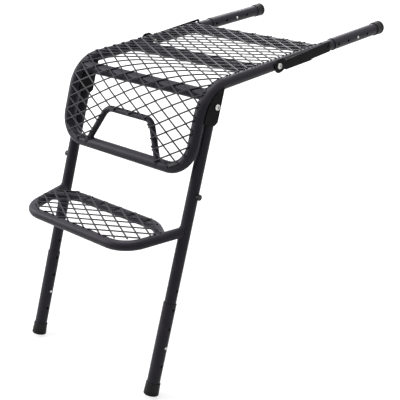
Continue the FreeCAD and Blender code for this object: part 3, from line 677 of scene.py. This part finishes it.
@dataclass
class StepMesh(ExpandedSheet):
    """The lower step's flat sheet; t is zero at the front bar's axis and grows towards the legs."""

    aside: float = -5.0 * MM
    ahead: float = -3.9 * MM
    turn: float = -0.6
    front_half: float = 154.5 * MM
    depth: float = 146 * MM
    corner: float = 58 * MM
    rear_half: float = 125 * MM
    rear_sweep: float = 35.0

    def __post_init__(self) -> None:
        """Read the sheet's plane from its box.

        The box of a sheet of length d and thickness s, tilted by a, is d cos a + s sin a deep and
        d sin a + s cos a high, which gives d and a.
        """
        low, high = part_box("step_mesh")
        deep, tall = high.y - low.y, high.z - low.z
        sheet = self.layout.sheet
        self.length = math.sqrt(deep ** 2 + tall ** 2 - sheet ** 2)
        tilt = math.atan2(tall, deep) - math.atan2(sheet, self.length)
        self.back = np.array([0.0, math.cos(tilt), -math.sin(tilt)])
        self.out = np.array([0.0, math.sin(tilt), math.cos(tilt)])
        self.front = np.array([0.0, low.y + sheet / 2 * self.out[1], high.z - sheet / 2 * self.out[2]])

    def margin(self, line: np.ndarray) -> np.ndarray:
        """Distance inside splayed sides with round front corners and a rear bar with swept ends.

        Args:
            line: Array of shape (N, 2) of (x, t).

        Returns:
            Array of N distances.
        """
        x, t = np.abs(line[:, 0]), line[:, 1]
        splay = (self.layout.rail_x - self.front_half) / self.depth
        beside = (self.front_half + splay * t - x) / math.hypot(1, splay)
        front = self.corner - np.hypot(np.maximum(self.corner - beside, 0), np.maximum(self.corner - t, 0))
        a = math.radians(self.rear_sweep)
        swept = (self.rear_half - x) * math.sin(a) + (self.length - t) * math.cos(a)
        return np.minimum(front, np.minimum(self.length - t, swept))

    def wrap(self, flat: np.ndarray) -> np.ndarray:
        """Bring flat points to the step's plane: front + x X + t back + n out.

        Args:
            flat: Array of shape (..., 3).

        Returns:
            Array of the same shape, in the part's frame.
        """
        x, t, n = np.moveaxis(flat, -1, 0)
        return self.front + x[..., None] * X_AXIS + t[..., None] * self.back + n[..., None] * self.out

    def dress(self, paint: Paintbox) -> bpy.types.Object:
        """Build the sheet in place of its CAD node.

        Args:
            paint: Finishes.

        Returns:
            The mesh piece.
        """
        return self.build("expanded_step_sheet", "legs", ("step_mesh",), (0.0, self.length), paint)


# Welds


@dataclass
class WeldBeads:
    """Rippled weld beads round the coped tube ends."""

    layout: Layout
    bead: float = 1.9 * MM
    ripple: float = 0.14
    ripples: int = 22
    points: int = 132
    section_points: int = 8
    smooth_angle: float = 60.0
    step_radius: float = 11.1 * MM
    grip_radius: float = 7.0 * MM
    grip_ahead: float = 5.7 * MM
    grip_foot: float = 110 * MM
    grip_top: float = 67.5 * MM
    grip_rise: float = 86.5 * MM

    def saddle(self, origin: np.ndarray, along: np.ndarray, radius: float, axis: np.ndarray,
               main_radius: float) -> tuple[np.ndarray, np.ndarray]:
        """Curve where a branch tube meets a main tube.

        A point of the branch is q + s u with q = origin + r (cos a e1 + sin a e2). Its distance from the main
        axis w is the main radius where |q' + s u'| = R, with the parts q' and u' square to w.

        Args:
            origin: Point of the branch's axis, measured from a point of the main axis.
            along: Unit direction of the branch, away from the main tube.
            radius: Radius of the branch.
            axis: Unit direction of the main tube, whose axis runs through the zero of origin.
            main_radius: Radius of the main tube.

        Returns:
            Closed curve and outward directions, both of shape (N, 3).
        """
        first, second = across(along)
        angle = np.linspace(0, 2 * np.pi, self.points, endpoint=False)
        spoke = np.cos(angle)[:, None] * first + np.sin(angle)[:, None] * second
        q = origin + radius * spoke
        flat_q = q - (q @ axis)[:, None] * axis
        flat_u = along - (along @ axis) * axis
        lead = flat_q @ flat_u
        rest = np.sum(flat_q ** 2, axis=1) - main_radius ** 2
        reach = np.maximum(lead ** 2 - flat_u @ flat_u * rest, 0)
        s = (np.sqrt(reach) - lead) / (flat_u @ flat_u)
        return q + s[:, None] * along, spoke

    def add(self, surface: Surface, centre: np.ndarray, origin: np.ndarray, along: np.ndarray, radius: float,
            axis: np.ndarray, main_radius: float) -> None:
        """Lay one bead.

        Args:
            surface: Surface to add to.
            centre: Point of the main tube's axis.
            origin: Point of the branch's axis, from that centre.
            along: Direction of the branch, away from the main tube.
            radius: Radius of the branch.
            axis: Direction of the main tube.
            main_radius: Radius of the main tube.
        """
        path, up = self.saddle(origin, unit(along), radius, unit(axis), main_radius)
        wave = 1 + self.ripple * np.cos(2 * np.pi * self.ripples * np.arange(self.points) / self.points)
        grid = sweep(centre + path, up, circle_section(self.bead, self.section_points), wave, closed=True)
        surface.add_grid(grid, close_u=True)

    def frame_beads(self, paint: Paintbox) -> bpy.types.Object:
        """Weld the three crossbars to the rails and the grip to the panel's bottom bar.

        Args:
            paint: Finishes.

        Returns:
            The beads.
        """
        lay = self.layout
        surface = Surface("frame_weld_beads")
        zero = np.zeros(3)
        half_turn = (math.pi / 2 - lay.lean) / 2
        bend_axis = np.array([0.0, math.sin(math.pi / 2 - half_turn), math.cos(math.pi / 2 - half_turn)])
        bars = {"front_crossbar": bend_axis, "mid_crossbar": Y_AXIS, "rear_crossbar": Y_AXIS}
        for side in Side:
            inward = -side.value * X_AXIS
            for bar, axis in bars.items():
                low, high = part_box(bar)
                centre = np.array([side.value * lay.rail_x, (low.y + high.y) / 2, (low.z + high.z) / 2])
                self.add(surface, centre, zero, inward, lay.tube_radius, axis, lay.tube_radius)
            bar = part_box("panel_bottom_bar")[0]
            foot = np.array([side.value * self.grip_foot, bar.y + lay.tube_radius, bar.z + lay.tube_radius])
            ahead = self.grip_ahead * np.array([0.0, -math.cos(lay.lean), math.sin(lay.lean)])
            rise = self.grip_rise * np.array([0.0, math.sin(lay.lean), math.cos(lay.lean)])
            along = rise + (self.grip_foot - self.grip_top) * inward
            self.add(surface, foot, ahead, along, self.grip_radius, inward, lay.tube_radius)
        piece = surface.build("frame", self.smooth_angle)
        paint.paint(piece, Slot.TUBE)
        return piece

    def step_beads(self, step: StepMesh, paint: Paintbox) -> bpy.types.Object:
        """Weld the step's side tubes to the legs.

        Args:
            step: The step's sheet, which knows the step's plane.
            paint: Finishes.

        Returns:
            The beads.
        """
        lay = self.layout
        surface = Surface("step_weld_beads")
        down = self.step_radius + lay.sheet / 2
        for side in Side:
            x = side.value * X_AXIS
            centre = step.front + lay.rail_x * x + step.depth * step.back - down * step.out
            along = (step.front_half - lay.rail_x) * x - step.depth * step.back
            self.add(surface, centre, np.zeros(3), along, self.step_radius, lay.leg_down, lay.leg_radius)
        piece = surface.build("legs", self.smooth_angle)
        paint.paint(piece, Slot.TUBE)
        return piece


# Fasteners and rubber


@dataclass
class PivotBolt:
    """Button-head bolt with a socket, and a nut on its inner end.

    The nut's outline holds shares of its height and of its radius, from the inner end outwards.
    """

    side: Side
    joint: str
    nut_height: float
    nut_slot: Slot
    head_height: float = 4.0 * MM
    shank: float = 4.0 * MM
    chamfer: float = 0.4 * MM
    dome_angle: float = 1.45
    dome_points: int = 9
    land: float = 0.5 * MM
    socket: float = 2.9 * MM
    socket_lip: float = 0.15 * MM
    socket_depth: float = 3.0 * MM
    socket_draft: float = 0.94
    nut_share: float = 0.9
    nut_sides: int = 6
    nut_outline: tuple[tuple[float, float], ...] = ((0.0, 0.55), (0.2, 0.9), (0.35, 1.0), (1.0, 1.0))

    def head_profile(self, radius: float, length: float) -> np.ndarray:
        """Half section (distance outwards from the head's top, radius) of shank, dome and socket.

        The dome is d = height sin(k a) / sin k, r = radius - width (1 - cos(k a)) / (1 - cos k) for the dome
        angle k and shares a from zero to one.

        Args:
            radius: Radius of the head.
            length: Length of the whole bolt.

        Returns:
            Array of shape (N, 2).
        """
        seat, angle = -self.head_height, self.dome_angle
        foot = seat + self.chamfer
        width = radius - self.socket - self.land
        rows = [(-length + self.nut_height / 2, self.shank), (seat, self.shank),
                (seat, radius - self.chamfer), (foot, radius)]
        rows += [(foot + (self.head_height - self.chamfer) * math.sin(angle * share) / math.sin(angle),
                  radius - width * (1 - math.cos(angle * share)) / (1 - math.cos(angle)))
                 for share in np.linspace(0, 1, self.dome_points)[1:]]
        rows += [(-self.socket_lip, self.socket), (-self.socket_depth, self.socket_draft * self.socket)]
        return np.array(rows)

    def dress(self, paint: Paintbox) -> list[bpy.types.Object]:
        """Build head with shank and nut in place of the CAD bolt.

        Args:
            paint: Finishes.

        Returns:
            The two pieces.
        """
        node = self.side.node(f"{self.joint}_bolt")
        low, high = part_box(node)
        radius = (high.z - low.z) / 2
        outer, inner = (high.x, low.x) if self.side is Side.RIGHT else (low.x, high.x)
        middle = np.array([0.0, (low.y + high.y) / 2, (low.z + high.z) / 2])
        outward = self.side.value * X_AXIS
        profile = self.head_profile(radius, abs(outer - inner))
        head = Surface(f"{node}_head")
        head.add_grid(revolve(profile, middle + outer * X_AXIS, outward))
        outline = np.array(self.nut_outline) * (self.nut_height, self.nut_share * radius)
        nut = Surface(f"{node}_nut")
        nut.add_grid(revolve(outline, middle + inner * X_AXIS, outward, self.nut_sides))
        pieces = [head.build("frame", smooth_angle=35.0), nut.build("frame", smooth_angle=25.0)]
        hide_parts(node)
        paint.paint(pieces[0], Slot.ZINC)
        paint.paint(pieces[1], self.nut_slot)
        return pieces


@dataclass
class RubberCup:
    """Moulded foot or cap: a tapered cup with a beaded rim, two grip grooves and rings on its sole.

    The shapes of groove and bead hold steps along the cup and in its radius, the rings shares of the base.
    """

    node: str
    body: str
    end: np.ndarray
    outward: np.ndarray
    rim: float = 16.2 * MM
    base: float = 16.9 * MM
    bore: float = 14.4 * MM
    height: float = 28 * MM
    sole: float = 5 * MM
    edge: float = 3.2 * MM
    edge_points: int = 7
    round_points: int = 64
    ring_depth: float = 0.6 * MM
    ring_shares: tuple[float, ...] = (0.22, 0.26, 0.40, 0.44, 0.58, 0.62, 0.76, 0.80)
    groove_places_mm: tuple[float, ...] = (5.0, 8.0)
    groove_mm: tuple[tuple[float, float], ...] = ((-0.9, 0.0), (-0.5, -0.7), (0.5, -0.7), (0.9, 0.0))
    bead_mm: tuple[tuple[float, float], ...] = ((-3.2, -0.35), (-2.6, 0.0), (-0.6, 0.0), (0.0, -0.6))

    def profile(self) -> np.ndarray:
        """Half section (distance from the sole, radius), from the sole's middle by the outside to the bore.

        Returns:
            Array of shape (N, 2).
        """
        rings = [(self.ring_depth if index % 2 else 0.0, self.base * share)
                 for index, share in enumerate(self.ring_shares)]
        corner = [(self.edge * (1 - math.cos(a)), self.base - self.edge * (1 - math.sin(a)))
                  for a in np.linspace(0, math.pi / 2, self.edge_points)]
        side = [((place + along) * MM, self.taper((place + along) * MM) + out * MM)
                for place in self.groove_places_mm for along, out in self.groove_mm]
        bead = [(self.height + along * MM, self.taper(self.height) + out * MM) for along, out in self.bead_mm]
        inside = [(self.height, self.bore), (self.sole, self.bore)]
        return np.array([*rings, *corner, *side, *bead, *inside])

    def taper(self, along: float) -> float:
        """Radius of the outside at a distance from the sole.

        Args:
            along: Distance from the sole.

        Returns:
            The radius.
        """
        return self.base + (self.rim - self.base) * along / self.height

    def dress(self, paint: Paintbox) -> bpy.types.Object:
        """Build the cup in place of its CAD node.

        Args:
            paint: Finishes.

        Returns:
            The cup.
        """
        surface = Surface(f"{self.node}_rubber")
        surface.add_grid(revolve(self.profile(), self.end, -self.outward, self.round_points))
        piece = surface.build(self.body, smooth_angle=50.0)
        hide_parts(self.node)
        paint.paint(piece, Slot.RUBBER)
        return piece


@dataclass
class SleeveRim:
    """Rolled edge where a sleeve ends on its inner tube: a ring of oval section."""

    node: str
    body: str
    centre: np.ndarray
    axis: np.ndarray
    radius: float
    roll: float = 0.7 * MM
    section_points: int = 12

    def dress(self, paint: Paintbox) -> bpy.types.Object:
        """Build the ring: d = roll (1 + sin a), r = radius + roll cos a / 2 round the sleeve's axis.

        Args:
            paint: Finishes.

        Returns:
            The ring.
        """
        angle = np.linspace(0, 2 * np.pi, self.section_points, endpoint=False)
        along = self.roll * (1 + np.sin(angle))
        ring = np.stack([along, self.radius + self.roll * np.cos(angle) / 2], axis=1)
        surface = Surface(f"{self.node}_rim")
        surface.add_grid(revolve(ring, self.centre, self.axis), close_u=True)
        piece = surface.build(self.body, smooth_angle=60.0)
        paint.paint(piece, Slot.TUBE)
        return piece


# Studio


@dataclass(frozen=True)
class Lamp:
    """A soft square lamp that looks at a point."""

    name: str
    place: tuple[float, float, float]
    target: tuple[float, float, float]
    size: float
    watts: float

    def build(self) -> bpy.types.Object:
        """Make the lamp.

        Returns:
            The lamp object.
        """
        data = bpy.data.lights.new(self.name, "AREA")
        data.shape = "SQUARE"
        data.size = self.size
        data.energy = self.watts
        lamp = bpy.data.objects.new(self.name, data)
        lamp.location = self.place
        lamp.visible_camera = False
        aim = Vector(self.target) - Vector(self.place)
        lamp.rotation_euler = aim.to_track_quat("-Z", "Y").to_euler()
        bpy.context.scene.collection.objects.link(lamp)
        return lamp


@dataclass
class Studio:
    """White floor and surround, soft lamps and the photograph's camera."""

    azimuth: float = 41.92
    elevation: float = 24.35
    roll: float = -1.49
    place: tuple[float, float, float] = (1.29484, -1.81265, 0.52723)
    focal_pixels: float = 859.26
    image_pixels: float = 400.0
    sensor: float = 36.0
    clip: tuple[float, float] = (0.05, 100.0)
    floor_size: float = 30.0
    paper: str = "#b4b4b4"
    shade_reach: tuple[float, float] = (0.7, 1.6)
    shade_white: float = 0.70
    ambient: float = 0.08
    lamps: tuple[Lamp, ...] = (
        Lamp("overhead_softbox", place=(-0.5, -0.2, 2.6), target=(0.0, -0.3, 0.0), size=1.5, watts=80.0),
        Lamp("left_softbox", place=(-2.5, -1.8, 1.0), target=(0.0, -0.4, -0.1), size=1.4, watts=64.0),
        Lamp("back_softbox", place=(-1.6, 2.4, 1.4), target=(0.0, -0.3, 0.0), size=1.0, watts=34.0),
    )

    def camera(self) -> None:
        """Set the camera, which looks from azimuth and elevation and is rolled about its line of sight."""
        data = bpy.data.cameras.new("photo_camera")
        data.sensor_width = self.sensor
        data.lens = self.sensor * self.focal_pixels / self.image_pixels
        data.clip_start, data.clip_end = self.clip
        a, e, r = (math.radians(value) for value in (self.azimuth, self.elevation, self.roll))
        ahead = Vector((-math.sin(a) * math.cos(e), math.cos(a) * math.cos(e), -math.sin(e)))
        level = Vector((math.cos(a), math.sin(a), 0.0))
        above = level.cross(ahead)
        right = math.cos(r) * level + math.sin(r) * above
        up = math.cos(r) * above - math.sin(r) * level
        camera = bpy.data.objects.new("photo_camera", data)
        turn = Matrix((right, up, -ahead)).transposed().to_4x4()
        camera.matrix_world = Matrix.Translation(self.place) @ turn
        bpy.context.scene.collection.objects.link(camera)
        bpy.context.scene.camera = camera

    def seen(self, tree: bpy.types.NodeTree) -> bpy.types.NodeSocket:
        """One for rays that the camera sees directly, in reflections or through clear things, else zero.

        Args:
            tree: Node tree of a material or world.

        Returns:
            The socket that carries the value.
        """
        rays = add_node(tree, "ShaderNodeLightPath").outputs
        either = add_node(tree, "ShaderNodeMath", {0: rays["Is Camera Ray"], 1: rays["Is Glossy Ray"]},
                          operation="MAXIMUM")
        return add_node(tree, "ShaderNodeMath", {0: either.outputs[0], 1: rays["Is Transmission Ray"]},
                        operation="MAXIMUM").outputs[0]

    def floor(self, height: float) -> None:
        """Lay a white floor that keeps the object's shadow.

        Args:
            height: Height of the floor.
        """
        half = self.floor_size / 2
        mesh = bpy.data.meshes.new("studio_floor")
        mesh.from_pydata([(-half, -half, height), (half, -half, height), (half, half, height),
                          (-half, half, height)], [], [(0, 1, 2, 3)])
        plane = bpy.data.objects.new("studio_floor", mesh)
        bpy.context.scene.collection.objects.link(plane)
        material = empty_material("white_paper_floor")
        tree = material.node_tree
        paper = add_node(tree, "ShaderNodeBsdfDiffuse", sockets={"Color": linear(self.paper)})
        place = add_node(tree, "ShaderNodeTexCoord").outputs["Object"]
        away = add_node(tree, "ShaderNodeVectorMath", {0: place}, operation="LENGTH")
        white = add_node(tree, "ShaderNodeMapRange", {"Value": away.outputs["Value"]},
                         {"From Min": self.shade_reach[0], "From Max": self.shade_reach[1],
                          "To Min": self.shade_white, "To Max": 1.0})
        level = add_node(tree, "ShaderNodeMath", {0: white.outputs["Result"], 1: self.seen(tree)},
                         operation="MULTIPLY")
        glow = add_node(tree, "ShaderNodeEmission", {"Strength": level.outputs[0]}, {"Color": WHITE})
        both = add_node(tree, "ShaderNodeAddShader", {0: paper.outputs["BSDF"], 1: glow.outputs["Emission"]})
        add_node(tree, "ShaderNodeOutputMaterial", {"Surface": both.outputs["Shader"]})
        mesh.materials.append(material)
        plane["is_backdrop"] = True

    def surround(self) -> None:
        """Light softly from all round, and show plain white to the camera and in reflections."""
        world = bpy.data.worlds.new("studio_surround")
        world.use_nodes = True
        tree = world.node_tree
        tree.nodes.clear()
        strength = add_node(tree, "ShaderNodeMapRange", {"Value": self.seen(tree)},
                            {"To Min": self.ambient, "To Max": 1.0})
        sky = add_node(tree, "ShaderNodeBackground", {"Strength": strength.outputs["Result"]},
                       {"Color": WHITE})
        add_node(tree, "ShaderNodeOutputWorld", {"Surface": sky.outputs["Background"]})
        bpy.context.scene.world = world

    def build(self, floor_height: float) -> None:
        """Set up the whole studio.

        Args:
            floor_height: Height of the floor.
        """
        bpy.context.scene.view_settings.view_transform = "Standard"
        for lamp in self.lamps:
            lamp.build()
        self.surround()
        self.floor(floor_height)
        self.camera()


def rubber_cups(layout: Layout) -> list[RubberCup]:
    """List the rubber feet on the legs and the caps on the arms.

    Args:
        layout: Measured places.

    Returns:
        The four cups.
    """
    mounts = {mount["name"]: np.array(mount["pos_m"]) for mount in frame["record"]["mounts"]}
    cups = []
    for side in Side:
        cups.append(RubberCup(side.node("foot"), side.node("leg_extension"), mounts[side.node("foot_sole")],
                              layout.leg_down))
        low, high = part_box(side.node("arm_cap"))
        end = np.array([(low.x + high.x) / 2, high.y, (low.z + high.z) / 2])
        cups.append(RubberCup(side.node("arm_cap"), side.node("arm_extension"), end, Y_AXIS))
    return cups


def sleeve_rims(layout: Layout) -> list[SleeveRim]:
    """List the rolled edges at the sleeves' upper and front ends.

    Args:
        layout: Measured places.

    Returns:
        The four rims.
    """
    rims = []
    down = layout.leg_down
    for side in Side:
        low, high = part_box(side.node("leg_sleeve"))
        radius = (high.x - low.x) / 2
        middle = (low.x + high.x) / 2
        top = np.array([middle, high.y + radius * down[2], high.z + radius * down[1]])
        rims.append(SleeveRim(side.node("leg_sleeve"), side.node("leg_extension"), top, down, radius))
        low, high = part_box(side.node("arm_sleeve"))
        front = np.array([middle, low.y, (low.z + high.z) / 2])
        rims.append(SleeveRim(side.node("arm_sleeve"), side.node("arm_extension"), front, Y_AXIS, radius))
    return rims


def main() -> None:
    """Dress the step and set the studio, with its floor at the CAD parts' lowest point."""
    logging.basicConfig(level=logging.INFO, format="%(name)s: %(message)s")
    cad_low, cad_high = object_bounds()
    layout = Layout.measured()
    paint = Paintbox()
    paint.paint_frame()
    platform, step = PlatformMesh(layout), StepMesh(layout)
    welds = WeldBeads(layout)
    pieces = [platform.dress(paint), step.dress(paint), welds.frame_beads(paint),
              welds.step_beads(step, paint)]
    for side in Side:
        # The leg bolts' nuts take the sheet coat, whose near-black colour is painted shade
        pieces += PivotBolt(side, "leg", nut_height=3 * MM, nut_slot=Slot.SHEET).dress(paint)
        pieces += PivotBolt(side, "arm", nut_height=6 * MM, nut_slot=Slot.ZINC).dress(paint)
    pieces += [cup.dress(paint) for cup in rubber_cups(layout)]
    pieces += [rim.dress(paint) for rim in sleeve_rims(layout)]
    for piece in pieces:
        LOG.info("%s: %d faces", piece.name, len(piece.data.polygons))
    Studio().build(cad_low.z)


if __name__ == "__main__":
    main()
